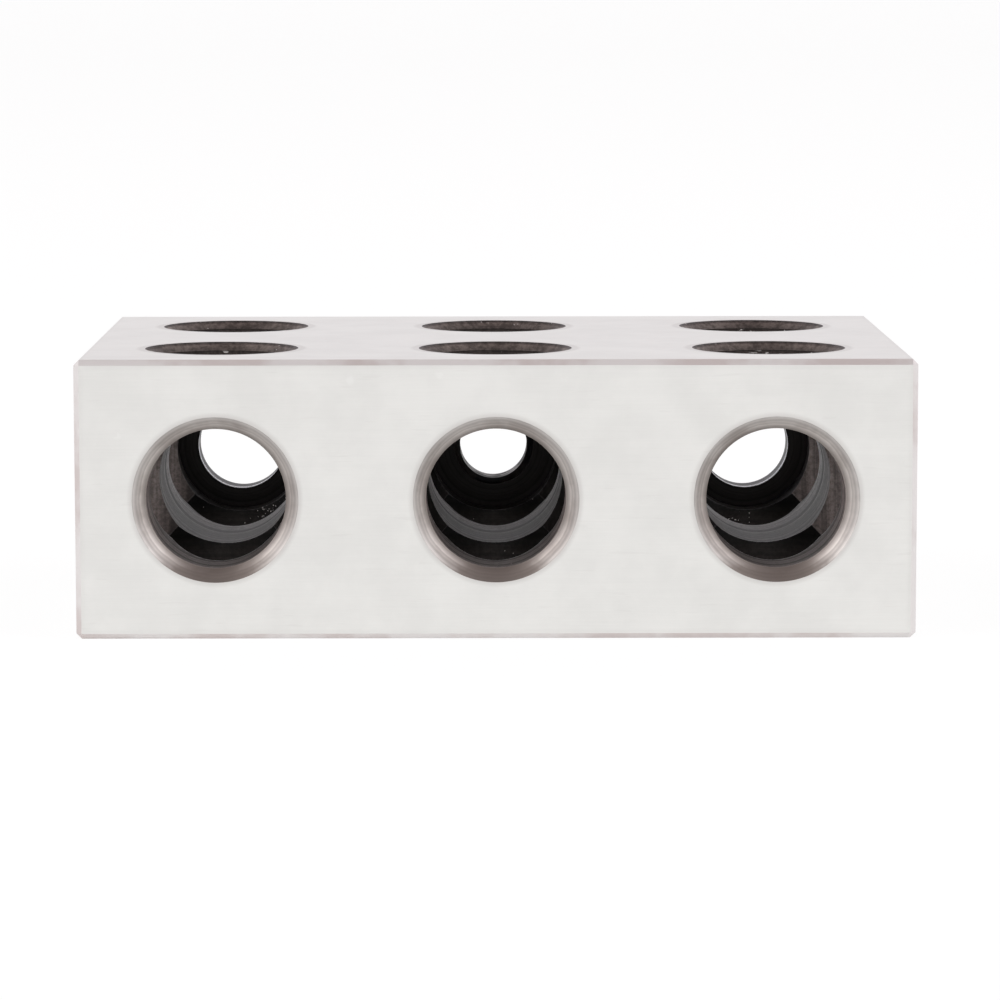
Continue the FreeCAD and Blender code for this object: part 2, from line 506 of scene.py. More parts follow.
@dataclass(frozen=True)
class SinkSteel(Finish):
    """A countersink: a turned cone with fine rings, a burnished lip, grit in some, and painted shade at its inner
    rim and low down.
    """

    width: float = 1.18 * MM
    lip: Colour = (0.80, 0.785, 0.77)
    lip_width: float = 0.55 * MM
    lip_share: float = 0.45
    shine: Colour = (0.85, 0.83, 0.82)
    stain: Colour = (0.46, 0.415, 0.39)
    # The colour of the painted shade at the inner rim and low in the mouth.
    oil: Colour = (0.24, 0.205, 0.185)
    pooled: float = 0.0
    grit: float = 0.0
    feed: float = 0.20 * MM

    def lay_on(self, wiring: Wiring, place: bpy.types.NodeSocket, steel: bpy.types.Node,
               effects: Effects) -> None:
        """Joins turned rings, stains, the lip, painted shade at the inner rim and low down, and grit to the shader.

        Args:
            wiring: the material's wiring.
            place: the object coordinates.
            steel: the Principled BSDF.
            effects: the shared node groups.
        """
        bores = self.group(wiring, effects.crossings, {"Vector": place})
        out = bores.outputs["Mouth"]
        rings = self.group(wiring, effects.turning,
                           {"Vector": place, "Along": out, "Feed": self.feed, "Wander": 0.30 * MM})
        stains = wiring.ramp(wiring.noise(place, 210.0, 4.0, 0.6), 0.40, 0.64)
        colour = wiring.tint(wiring.math("MULTIPLY", stains, 0.75), self.colour, self.stain)
        lip = wiring.ramp(out, self.width - self.lip_width, self.width, 0.0, self.lip_share)
        colour = wiring.tint(lip, colour, self.lip)
        # Painted shade: darker towards the inner rim, where the cone turns down into the bore.
        colour = wiring.tint(wiring.ramp(out, 0.5 * MM, 0.0, 0.0, 0.6), colour, self.oil)
        cut = wiring.grey(wiring.ramp(rings.outputs["Rings"], 0.34, 0.66, 0.86, 1.14))
        colour = wiring.tint(1.0, colour, cut, "MULTIPLY")
        if self.pooled:
            # Painted shade: darker towards the bottom of the mouth, with a ragged edge.
            height = wiring.math("SUBTRACT", wiring.add("ShaderNodeSeparateXYZ", {0: place}).outputs[2],
                                 effects.layout.middle)
            ragged = wiring.math("MULTIPLY_ADD", stains, 0.8 * MM, height)
            low = wiring.ramp(ragged, -4.4 * MM, -6.4 * MM, 0.0, self.pooled)
            colour = wiring.tint(low, colour, self.oil)
        height = rings.outputs["Rings"]
        if self.grit:
            grains = self.group(wiring, effects.swarf, {"Vector": place, "Amount": self.grit, "Grain": 3000.0,
                                                        "Spread": 0.75})
            coarse = wiring.noise(place, 1700.0, 4.0, 0.7)
            mottle = wiring.grey(wiring.ramp(coarse, 0.34, 0.66, 0.65, 1.35))
            colour = wiring.tint(1.0, colour, mottle, "MULTIPLY")
            # The grit grains are real, and their pale shine colour is a painted glint.
            colour = wiring.tint(wiring.math("MULTIPLY", grains.outputs["Specks"], 0.9), colour, self.shine)
            height = wiring.math("MULTIPLY_ADD", coarse, 1.5, height)
        wiring.tree.links.new(colour, steel.inputs["Base Color"])
        gloss = wiring.ramp(rings.outputs["Rings"], 0.3, 0.7, self.roughness + 0.08, self.roughness - 0.06)
        wiring.tree.links.new(gloss, steel.inputs["Roughness"])
        self.bump(wiring, steel, height, 0.03 * MM, 0.45)


@dataclass(frozen=True)
class Cluster:
    """A place where swarf and oil have gathered in a bore, and how far they reach."""

    place: tuple[float, float, float]
    reach: float


@dataclass(frozen=True)
class BoreSteel(Finish):
    """A drilled wall: painted darker with depth, ringed by the drill, with painted highlights on its torn edges and
    bright specks.
    """

    axis: Axis = Axis.Z
    # Painted light and shade: the wall's colour at each depth from the mouth.
    deeps: tuple[tuple[float, Colour], ...] = ()
    one_way: bool = False
    # The colour of the painted highlight along the edges where two bores meet.
    edge: Colour = (0.50, 0.49, 0.50)
    edge_share: float = 0.1
    edge_reach: float = 0.10 * MM
    edge_end: float = 1.0
    # Painted light: how much lighter the top of the wall is painted than its bottom.
    drained: float = 1.0
    speck: Colour = (0.95, 0.92, 0.88)
    feed: float = 0.30 * MM
    specks: float = 0.05
    nicks: float = 0.0
    clusters: tuple[Cluster, ...] = ()

    def _measure(self, wiring: Wiring, along: Any, layout: BoreLayout) -> tuple[Any, Any]:
        """Measures how far in a place lies from the bore's mouth, and which way its mouth is.

        Args:
            wiring: the material's wiring.
            along: the coordinate along the bore.
            layout: the slab's sizes.

        Returns:
            The depth's socket, and 1 or -1 for a mouth that lies up or down the axis.
        """
        half = (layout.length, layout.width, layout.height)[self.axis.value] / 2
        centred = wiring.math("SUBTRACT", along, layout.middle if self.axis is Axis.Z else 0.0)
        if self.one_way:
            return wiring.math("ADD", centred, half), -1.0
        return wiring.math("SUBTRACT", half, wiring.math("ABSOLUTE", centred)), wiring.math("SIGN", centred)

    def _shade_by_depth(self, wiring: Wiring, depth: Any) -> bpy.types.NodeSocket:
        """Paints light and shade into the wall's colour from its mouth inwards, and returns the colour's socket."""
        reach = self.deeps[-1][0]
        ramp = wiring.add("ShaderNodeValToRGB", {0: wiring.math("DIVIDE", depth, reach)})
        stops = ramp.color_ramp.elements
        while len(stops) < len(self.deeps):
            stops.new(0.5)
        for stop, (distance, colour) in zip(stops, self.deeps):
            stop.position = distance / reach
            stop.color = (*colour, 1.0)
        return ramp.outputs[0]

    def lay_on(self, wiring: Wiring, place: bpy.types.NodeSocket, steel: bpy.types.Node,
               effects: Effects) -> None:
        """Joins painted light and shade, drill rings, painted highlights on torn edges, and nicks and specks
        coloured as painted glints to the shader.

        Args:
            wiring: the material's wiring.
            place: the object coordinates.
            steel: the Principled BSDF.
            effects: the shared node groups.
        """
        split = wiring.add("ShaderNodeSeparateXYZ", {0: place})
        along = split.outputs[self.axis.value]
        depth, outward = self._measure(wiring, along, effects.layout)
        bores = self.group(wiring, effects.crossings, {"Vector": place})
        rings = self.group(wiring, effects.turning,
                           {"Vector": place, "Along": along, "Feed": self.feed, "Wander": 0.30 * MM})
        colour = self._shade_by_depth(wiring, depth) if self.deeps else (*self.colour,)
        grain = wiring.noise(place, 2600.0, 3.0, 0.7)
        shares = [wiring.ramp(rings.outputs["Bands"], 0.36, 0.64, 0.45, 1.65),
                  wiring.ramp(rings.outputs["Rings"], 0.3, 0.7, 0.7, 1.35),
                  wiring.ramp(grain, 0.32, 0.68, 0.72, 1.3)]
        # Painted light: the wall turns lighter from its bottom to just above its axis, by the share given in this
        # field.
        if self.drained != 1.0:
            up = wiring.math("SUBTRACT", split.outputs[2], effects.layout.middle)
            shares.append(wiring.ramp(up, -0.95 * effects.layout.radius, 0.1 * effects.layout.radius,
                                      1.0, self.drained))
        for share in shares:
            colour = wiring.tint(1.0, colour, wiring.grey(share), "MULTIPLY")
        # Painted highlight: a pale line along the edges where two bores meet, standing for burrs catching the
        # light, ending at a given depth.
        reach = wiring.ramp(grain, 0.3, 0.7, 0.2 * self.edge_reach, self.edge_reach)
        edge = wiring.math("LESS_THAN", bores.outputs["Near Edge"], reach)
        fresh = wiring.ramp(depth, self.edge_end, self.edge_end - 1.0 * MM, 0.0, self.edge_share)
        colour = wiring.tint(wiring.math("MULTIPLY", edge, fresh), colour, self.edge)
        amount: Any = self.specks
        for cluster in self.clusters:
            apart = wiring.add("ShaderNodeVectorMath", {0: place, 1: cluster.place}, operation="DISTANCE")
            gathered = wiring.ramp(apart.outputs["Value"], cluster.reach, 0.3 * cluster.reach, 0.0, 0.8)
            amount = wiring.math("MAXIMUM", amount, gathered)
        swarf = self.group(wiring, effects.swarf, {"Vector": place, "Amount": amount, "Spread": 0.85})
        bright = swarf.outputs["Specks"]
        lean = wiring.add("ShaderNodeVectorMath", {0: swarf.outputs["Tilt"], "Scale": 1.2},
                          operation="SCALE").outputs[0]
        if self.nicks:
            ragged = wiring.noise(wiring.stretch(place, (1.0, 1.0, 2.2)), 640.0, 4.0, 0.65)
            inner, outer = wiring.ramp(depth, 0.7 * MM, 0.95 * MM), wiring.ramp(depth, 2.6 * MM, 2.0 * MM)
            band = wiring.math("MULTIPLY", inner, outer)
            nick = wiring.math("MULTIPLY", wiring.ramp(ragged, 0.63, 0.67, 0.0, self.nicks), band)
            bright = wiring.math("MAXIMUM", bright, nick)
            raised = wiring.math("MULTIPLY", wiring.math("MULTIPLY", nick, 0.25), outward)
            torn = wiring.add("ShaderNodeCombineXYZ", {self.axis.value: raised})
            lean = wiring.add("ShaderNodeVectorMath", {0: lean, 1: torn.outputs[0]}, operation="ADD").outputs[0]
        # The specks and nicks are real torn grains and burrs, and their near-white colour is a painted glint.
        colour = wiring.tint(bright, colour, self.speck)
        wiring.tree.links.new(colour, steel.inputs["Base Color"])
        metal = wiring.math("MULTIPLY_ADD", swarf.outputs["Specks"], -0.5 * self.metallic, self.metallic)
        wiring.tree.links.new(metal, steel.inputs["Metallic"])
        gloss = wiring.ramp(rings.outputs["Rings"], 0.3, 0.7, self.roughness + 0.1, self.roughness - 0.08)
        wiring.tree.links.new(gloss, steel.inputs["Roughness"])
        height = wiring.math("MULTIPLY_ADD", swarf.outputs["Specks"], 0.6, rings.outputs["Rings"])
        self.bump(wiring, steel, height, 0.05 * MM, 0.5, lean)


@dataclass(frozen=True)
class SeatSteel(Finish):
    """The flat seat at the far end of a front bore: dark, and faced with a counterbore."""

    feed: float = 0.22 * MM

    def lay_on(self, wiring: Wiring, place: bpy.types.NodeSocket, steel: bpy.types.Node,
               effects: Effects) -> None:
        """Joins the cutter's rings to the shader.

        Args:
            wiring: the material's wiring.
            place: the object coordinates.
            steel: the Principled BSDF.
            effects: the shared node groups.
        """
        bores = self.group(wiring, effects.crossings, {"Vector": place})
        rings = self.group(wiring, effects.turning,
                           {"Vector": place, "Along": bores.outputs["Front Bore"], "Feed": self.feed,
                            "Wander": 0.06 * MM})
        dark = tuple(channel * 0.6 for channel in self.colour)
        colour = wiring.tint(wiring.ramp(rings.outputs["Rings"], 0.35, 0.65), dark, self.colour)
        wiring.tree.links.new(colour, steel.inputs["Base Color"])
        gloss = wiring.ramp(rings.outputs["Bands"], 0.3, 0.7, self.roughness + 0.06, self.roughness - 0.06)
        wiring.tree.links.new(gloss, steel.inputs["Roughness"])
        self.bump(wiring, steel, rings.outputs["Rings"], 0.03 * MM, 0.5)


@dataclass(frozen=True)
class ThreadSteel(Finish):
    """The cut thread: bright on its flanks, with oil left in places."""

    oil: Colour = (0.16, 0.14, 0.13)

    def lay_on(self, wiring: Wiring, place: bpy.types.NodeSocket, steel: bpy.types.Node,
               effects: Effects) -> None:
        """Joins torn grain and oil to the shader.

        Args:
            wiring: the material's wiring.
            place: the object coordinates.
            steel: the Principled BSDF.
            effects: the shared node groups.
        """
        swarf = self.group(wiring, effects.swarf, {"Vector": place, "Amount": 0.5, "Grain": 6000.0})
        oiled = wiring.math("MULTIPLY", swarf.outputs["Patches"], 0.7)
        colour = wiring.tint(oiled, self.colour, self.oil)
        wiring.tree.links.new(colour, steel.inputs["Base Color"])
        gloss = wiring.ramp(swarf.outputs["Patches"], 0.0, 1.0, self.roughness + 0.08, self.roughness - 0.1)
        wiring.tree.links.new(gloss, steel.inputs["Roughness"])
        self.bump(wiring, steel, wiring.noise(place, 5000.0, 3.0), 0.01 * MM, 0.4)


@dataclass(frozen=True)
class SteelSet:
    """The finishes of the block, each made once."""

    ground: Finish = GroundFace("ground_face", (0.81, 0.805, 0.78), 0.36)
    bevel: Finish = BevelSteel("stoned_bevel", (0.79, 0.77, 0.755), 0.50, metallic=0.45)
    front_sink: Finish = SinkSteel("front_sink", (0.68, 0.64, 0.61), 0.50, pooled=0.9)
    # Painted shade: the face countersinks are coloured far darker than the other countersinks, with a near-black
    # lip, as they lie in shade.
    face_sink: Finish = SinkSteel("face_sink", (0.17, 0.143, 0.13), 0.50, width=0.75 * MM, grit=0.10,
                                  stain=(0.13, 0.108, 0.10), oil=(0.11, 0.095, 0.09), lip=(0.05, 0.043, 0.046),
                                  lip_width=0.28 * MM, lip_share=0.8, shine=(0.60, 0.56, 0.55))
    end_sink: Finish = SinkSteel("end_sink", (0.60, 0.57, 0.545), 0.48, width=0.75 * MM, pooled=0.6)
    back_sink: Finish = SinkSteel("back_sink", (0.62, 0.59, 0.57), 0.44, width=0.4 * MM)
    # Painted shade: each bore wall's colour darkens the deeper it lies from its mouth.
    face_wall: Finish = BoreSteel(
        "face_bore_wall", (0.06, 0.053, 0.05), 0.40, metallic=0.6, axis=Axis.Z, nicks=0.6,
        deeps=((0.7 * MM, (0.14, 0.115, 0.105)), (3.0 * MM, (0.05, 0.043, 0.04)),
               (6.5 * MM, (0.012, 0.011, 0.010))),
        clusters=(Cluster((-22.3 * MM, 18.2 * MM, 6.6 * MM), 3.4 * MM),
                  Cluster((24.6 * MM, 18.8 * MM, 5.3 * MM), 1.8 * MM)))
    end_wall: Finish = BoreSteel(
        "end_bore_wall", (0.06, 0.053, 0.05), 0.42, metallic=0.6, axis=Axis.X,
        deeps=((0.7 * MM, (0.26, 0.235, 0.22)), (5.0 * MM, (0.15, 0.13, 0.122)),
               (11.0 * MM, (0.08, 0.069, 0.064)), (17.0 * MM, (0.012, 0.011, 0.010))),
        clusters=(Cluster((-19.5 * MM, 14.0 * MM, 6.6 * MM), 5.5 * MM),))
    front_wall: Finish = BoreSteel(
        "front_bore_wall", (0.11, 0.102, 0.10), 0.46, metallic=0.08, specular=0.22, axis=Axis.Y, one_way=True,
        edge_share=0.8, edge_reach=0.35 * MM, edge_end=33.0 * MM, specks=0.04, drained=2.5,
        # Painted light: the front bores' walls turn lighter again from 18.5 to 32.5 mm deep, across the middle web,
        # then painted dark at the far end.
        deeps=((1.0 * MM, (0.22, 0.19, 0.18)), (3.2 * MM, (0.13, 0.113, 0.107)),
               (6.5 * MM, (0.06, 0.053, 0.051)), (18.5 * MM, (0.13, 0.125, 0.125)),
               (32.5 * MM, (0.24, 0.235, 0.235)), (44.0 * MM, (0.03, 0.028, 0.027))))
    # Painted shade: the seat is coloured near black, as deep in the bore.
    seat: Finish = SeatSteel("faced_seat", (0.04, 0.037, 0.036), 0.42)
    shank: Finish = BoreSteel(
        "shank_wall", (0.10, 0.10, 0.11), 0.50, metallic=0.1, axis=Axis.Y, one_way=True, feed=0.18 * MM,
        edge_share=0.0, specks=0.0,
        # Painted light: the exit wall is pale from 46.8 to 47.7 mm deep, just behind the seat, for a bright exit
        # rim, and painted dark beyond.
        deeps=((46.8 * MM, (0.80, 0.82, 0.86)), (47.7 * MM, (0.80, 0.82, 0.86)),
               (48.0 * MM, (0.03, 0.03, 0.035)), (50.8 * MM, (0.03, 0.03, 0.035))))
    # Painted shade: the thread is coloured near black, as deep in the bore.
    thread: Finish = ThreadSteel("cut_thread", (0.05, 0.05, 0.055), 0.50, metallic=0.3)

    def make(self, effects: Effects) -> dict[str, bpy.types.Material]:
        """Builds every finish, and returns the materials by the name of the field."""
        return {name: getattr(self, name).make(effects) for name in self.__dataclass_fields__}


@dataclass
class BoreCutter:
    """The space that one stepped bore takes out, turned about z with its middle at the origin."""

    name: str
    outline: list[tuple[float, float]]
    bands: list[bpy.types.Material]
    segments: int = 128
    phase: float = 0.0

    def build(self) -> bpy.types.Object:
        """Turns the outline into a closed mesh with one material for each band.

        Returns:
            The cutter, unlinked from the scene.
        """
        shape = bmesh.new()
        rings = []
        for height, radius in self.outline:
            turn = [2.0 * math.pi * (index + self.phase) / self.segments for index in range(self.segments)]
            rings.append([shape.verts.new((radius * math.cos(a), radius * math.sin(a), height)) for a in turn])
        slots = list(dict.fromkeys(self.bands))
        for band, (low, high) in enumerate(zip(rings, rings[1:])):
            for index in range(self.segments):
                after = (index + 1) % self.segments
                face = shape.faces.new((low[index], low[after], high[after], high[index]))
                face.material_index = slots.index(self.bands[band])
        shape.faces.new(list(reversed(rings[0])))
        shape.faces.new(rings[-1])
        mesh = bpy.data.meshes.new(self.name)
        shape.to_mesh(mesh)
        shape.free()
        for material in slots:
            mesh.materials.append(material)
        return bpy.data.objects.new(self.name, mesh)


@dataclass
class TapThread:
    """The thread cut in the far end of the middle front bore, as the coil that a tap takes out."""

    pitch: float = 1.25 * MM
    core: float = 3.375 * MM
    root: float = 4.0 * MM
    root_flat: float = 0.17 * MM
    overlap: float = 0.12 * MM
    steps: int = 96

    def inputs(self) -> dict[str, tuple[str, Any]]:
        """Returns the sizes that the block's tree takes for the thread."""
        length = "NodeSocketFloat"
        return {"Thread Pitch": (length, self.pitch), "Thread Core": (length, self.core),
                "Thread Root": (length, self.root), "Root Flat": (length, self.root_flat),
                "Thread Overlap": (length, self.overlap)}

    def wire(self, wiring: Wiring, given: dict[str, bpy.types.NodeSocket], start: float, reach: float,
             middle: float, material: bpy.types.Material) -> bpy.types.NodeSocket:
        """Sweeps the groove's section along a helix about the bore's axis.

        Args:
            wiring: the wiring of the block's tree.
            given: the tree's inputs by name.
            start: where the coil starts along y.
            reach: how far it runs along y.
            middle: the height of the bore's axis.
            material: the thread's finish.

        Returns:
            The socket of the coil's mesh.
        """
        inner = wiring.math("SUBTRACT", given["Thread Core"], given["Thread Overlap"])
        depth = wiring.math("SUBTRACT", given["Thread Root"], inner)
        mean = wiring.math("MULTIPLY_ADD", depth, 0.5, inner)
        opening = wiring.math("MULTIPLY_ADD", depth, 2.0 * math.tan(math.radians(30.0)), given["Root Flat"])
        helix = wiring.add("GeometryNodeCurveSpiral", {
            "Resolution": self.steps, "Rotations": wiring.math("DIVIDE", reach, given["Thread Pitch"]),
            "Start Radius": mean, "End Radius": mean, "Height": reach})
        level = wiring.add("GeometryNodeSetCurveNormal", {"Curve": helix.outputs[0]}, mode="Z_UP")
        section = wiring.add("GeometryNodeCurvePrimitiveQuadrilateral", {
            "Height": depth, "Bottom Width": opening, "Top Width": given["Root Flat"], "Offset": 0.0},
            mode="TRAPEZOID")
        turned = wiring.add("GeometryNodeTransform", {
            "Geometry": section.outputs[0], "Rotation": (0.0, 0.0, math.radians(-90.0))})
        coil = wiring.add("GeometryNodeCurveToMesh", {
            "Curve": level.outputs[0], "Profile Curve": turned.outputs[0], "Fill Caps": True})
        placed = wiring.add("GeometryNodeTransform", {
            "Geometry": coil.outputs[0], "Translation": (0.0, start, middle),
            "Rotation": (math.radians(-90.0), 0.0, 0.0)})
        dressed = wiring.add("GeometryNodeSetMaterial", {"Geometry": placed.outputs[0], "Material": material})
        return dressed.outputs[0]


@dataclass
class SetupBlock:
    """The ground block with its grid of crossing bores."""

    layout: BoreLayout
    materials: dict[str, bpy.types.Material]
    bevel: float = 0.5 * MM
    columns: int = 3
    rows: int = 2
    seat_wall: float = 4.0 * MM
    shank: float = 4.365 * MM
    face_sink: float = 0.75 * MM
    end_sink: float = 0.75 * MM
    front_sink: float = 1.18 * MM
    back_sink: float = 0.4 * MM
    spare: float = 1.0 * MM
    thread: TapThread = field(default_factory=TapThread)

    def through(self, family: str, half: float, sink: float, phase: float) -> bpy.types.Object:
        """Makes the cutter of a plain bore that is countersunk at both ends.

        Args:
            family: face or end, which names its finishes too.
            half: half the bore's length.
            sink: how deep each countersink goes.
            phase: the turn of the first segment, so that no two bores share a seam.

        Returns:
            The cutter.
        """
        radius, wide = self.layout.radius, self.layout.radius + sink + self.spare
        outline = [(-half - self.spare, wide), (-half + sink, radius), (half - sink, radius),
                   (half + self.spare, wide)]
        turned, drilled = self.materials[f"{family}_sink"], self.materials[f"{family}_wall"]
        return BoreCutter(f"{family}_cutter", outline, [turned, drilled, turned], phase=phase).build()

    def stepped(self, name: str, exit_radius: float, exit_steel: str) -> bpy.types.Object:
        """Makes the cutter of a front bore that steps down to a smaller exit through the back.

        Args:
            name: the cutter's name.
            exit_radius: the radius behind the seat.
            exit_steel: the key of the exit wall's finish.

        Returns:
            The cutter.
        """
        half, radius, seat = self.layout.width / 2, self.layout.radius, self.layout.width / 2 - self.seat_wall
        outline = [(-half - self.spare, radius + self.front_sink + self.spare), (-half + self.front_sink, radius),
                   (seat, radius), (seat, exit_radius), (half - self.back_sink, exit_radius),
                   (half + self.spare, exit_radius + self.back_sink + self.spare)]
        keys = ("front_sink", "front_wall", "seat", exit_steel, "back_sink")
        return BoreCutter(name, outline, [self.materials[key] for key in keys], phase=0.25).build()

    def tree(self) -> bpy.types.NodeTree:
        """Builds the tree that bevels the slab, sets out the bores on their grid and cuts them.

        Returns:
            The node group, with the block's sizes and its cutters as named inputs.
        """
        length, thing, count = "NodeSocketFloat", "NodeSocketObject", "NodeSocketInt"
        wiring, given, out = open_group(
            "crossing_bore_block", "GeometryNodeTree",
            {"Length": (length, self.layout.length), "Width": (length, self.layout.width),
             "Height": (length, self.layout.height),
             "Bevel": (length, self.bevel), "Pitch": (length, self.layout.pitch),
             "Columns": (count, self.columns), "Rows": (count, self.rows),
             "Face Cutter": (thing, None), "End Cutter": (thing, None), "Outer Front Cutter": (thing, None),
             "Middle Front Cutter": (thing, None), **self.thread.inputs()},
            {"Geometry": "NodeSocketGeometry"})
        slab = self._slab(wiring, given)
        cut = wiring.add("GeometryNodeMeshBoolean", {
            "Mesh 1": slab, "Mesh 2": self._bores(wiring, given)}, operation="DIFFERENCE", solver="MANIFOLD")
        flat = wiring.add("GeometryNodeTriangulate", {0: cut.outputs[0]})
        real = wiring.add("GeometryNodeRealizeInstances", {0: flat.outputs[0]})
        skin = wiring.add("GeometryNodeInputNamedAttribute", {"Name": "skin"}, data_type="BOOLEAN").outputs[0]
        facing = wiring.add("ShaderNodeSeparateXYZ", {0: wiring.add("GeometryNodeInputNormal").outputs[0]})
        across, along, up = (wiring.math("ABSOLUTE", facing.outputs[index]) for index in range(3))
        squareness = wiring.math("MAXIMUM", wiring.math("MAXIMUM", across, along), up)
        slanted = wiring.math("LESS_THAN", squareness, 0.99)
        bevels = wiring.add("FunctionNodeBooleanMath", {0: skin, 1: slanted}, operation="AND").outputs[0]
        dressed = wiring.add("GeometryNodeSetMaterial", {
            "Geometry": real.outputs[0], "Selection": bevels, "Material": self.materials["bevel"]})
        wiring.tree.links.new(dressed.outputs[0], out.inputs[0])
        return wiring.tree

    def _slab(self, wiring: Wiring, given: dict[str, bpy.types.NodeSocket]) -> bpy.types.NodeSocket:
        """Wraps three boxes, each pulled in on two axes, so that every edge is bevelled.

        Args:
            wiring: the tree's wiring.
            given: the tree's inputs by name.

        Returns:
            The socket of the bevelled slab, standing on z = 0, its faces marked as skin.
        """
        full = [given["Length"], given["Width"], given["Height"]]
        less = [wiring.math("MULTIPLY_ADD", given["Bevel"], -2.0, size) for size in full]
        boxes = []
        for kept in Axis:
            sizes = {axis.value: (full if axis is kept else less)[axis.value] for axis in Axis}
            size = wiring.add("ShaderNodeCombineXYZ", sizes)
            boxes.append(wiring.add("GeometryNodeMeshCube", {"Size": size.outputs[0]}).outputs[0])
        joined = wiring.add("GeometryNodeJoinGeometry", {0: boxes})
        hull = wiring.add("GeometryNodeConvexHull", {0: joined.outputs[0]})
        raised = wiring.add("ShaderNodeCombineXYZ", {2: wiring.math("MULTIPLY", given["Height"], 0.5)})
        stood = wiring.add("GeometryNodeTransform", {
            "Geometry": hull.outputs[0], "Translation": raised.outputs[0]})
        ground = wiring.add("GeometryNodeSetMaterial", {
            "Geometry": stood.outputs[0], "Material": self.materials["ground"]})
        marked = wiring.add("GeometryNodeStoreNamedAttribute", {
            "Geometry": ground.outputs[0], "Name": "skin", "Value": True}, data_type="BOOLEAN", domain="FACE")
        return marked.outputs[0]

    def _bores(self, wiring: Wiring, given: dict[str, bpy.types.NodeSocket]) -> list[bpy.types.NodeSocket]:
        """Sets the cutters out on the grid, each family on its own row of points.

        Args:
            wiring: the tree's wiring.
            given: the tree's inputs by name.

        Returns:
            The sockets of all the bodies that are cut away.
        """
        pitch, middle = given["Pitch"], wiring.math("MULTIPLY", given["Height"], 0.5)
        last_column = wiring.math("SUBTRACT", given["Columns"], 1.0)
        last_row = wiring.math("SUBTRACT", given["Rows"], 1.0)
        span = wiring.math("MULTIPLY", pitch, last_column)
        depth = wiring.math("MULTIPLY", pitch, last_row)
        raised = wiring.add("ShaderNodeCombineXYZ", {2: middle}).outputs[0]
        grid = wiring.add("GeometryNodeMeshGrid", {
            "Size X": span, "Size Y": depth, "Vertices X": given["Columns"], "Vertices Y": given["Rows"]})
        lifted = wiring.add("GeometryNodeTransform", {"Geometry": grid.outputs[0], "Translation": raised})
        first_row = wiring.add("ShaderNodeCombineXYZ", {1: wiring.math("MULTIPLY", depth, -0.5), 2: middle})
        end_row = wiring.add("GeometryNodeMeshLine", {
            "Count": given["Rows"], "Start Location": first_row.outputs[0],
            "Offset": wiring.add("ShaderNodeCombineXYZ", {1: pitch}).outputs[0]})
        first_column = wiring.add("ShaderNodeCombineXYZ", {0: wiring.math("MULTIPLY", span, -0.5), 2: middle})
        outer = wiring.add("GeometryNodeMeshLine", {
            "Count": 2, "Start Location": first_column.outputs[0],
            "Offset": wiring.add("ShaderNodeCombineXYZ", {0: span}).outputs[0]})
        centre = wiring.add("GeometryNodeMeshLine", {"Count": 1, "Start Location": raised})
        quarter = math.radians(90.0)
        bodies = []
        for points, name, turn in (
                (lifted.outputs[0], "Face Cutter", (0.0, 0.0, 0.0)),
                (end_row.outputs[0], "End Cutter", (0.0, quarter, 0.0)),
                (outer.outputs[0], "Outer Front Cutter", (-quarter, 0.0, 0.0)),
                (centre.outputs[0], "Middle Front Cutter", (-quarter, 0.0, 0.0))):
            cutter = wiring.add("GeometryNodeObjectInfo", {"Object": given[name]})
            placed = wiring.add("GeometryNodeInstanceOnPoints", {
                "Points": points, "Instance": cutter.outputs["Geometry"], "Rotation": turn})
            bodies.append(placed.outputs[0])
        seat = self.layout.width / 2 - self.seat_wall
        bodies.append(self.thread.wire(wiring, given, seat - self.spare, self.seat_wall + 2 * self.spare,
                                       self.layout.height / 2, self.materials["thread"]))
        return bodies

    def build(self) -> bpy.types.Object:
        """Cuts the block and gives its bore walls the normals of true cylinders.

        Returns:
            The finished block as a plain mesh at the origin.
        """
        cutters = {
            "Face Cutter": self.through("face", self.layout.height / 2, self.face_sink, 0.5),
            "End Cutter": self.through("end", self.layout.length / 2, self.end_sink, 0.0),
            "Outer Front Cutter": self.stepped("outer_front_cutter", self.shank, "shank"),
            "Middle Front Cutter": self.stepped("middle_front_cutter", self.thread.core, "thread")}
        blank = bpy.data.objects.new("blank", bpy.data.meshes.new("blank"))
        bpy.context.scene.collection.objects.link(blank)
        tree = self.tree()
        modifier = blank.modifiers.new("bores", "NODES")
        modifier.node_group = tree
        sockets = {item.name: item.identifier for item in tree.interface.items_tree if item.in_out == "INPUT"}
        for name, cutter in cutters.items():
            modifier[sockets[name]] = cutter
        graph = bpy.context.evaluated_depsgraph_get()
        mesh = bpy.data.meshes.new_from_object(blank.evaluated_get(graph), depsgraph=graph)
        blank.modifiers.clear()
        bpy.data.objects.remove(blank)
        for cutter in cutters.values():
            bpy.data.objects.remove(cutter)
        mesh.name = "block_body"
        mesh.materials.pop(index=list(mesh.materials).index(None))
        body = bpy.data.objects.new("block_body", mesh)
        bpy.context.scene.collection.objects.link(body)
        self._shade(mesh)
        return body

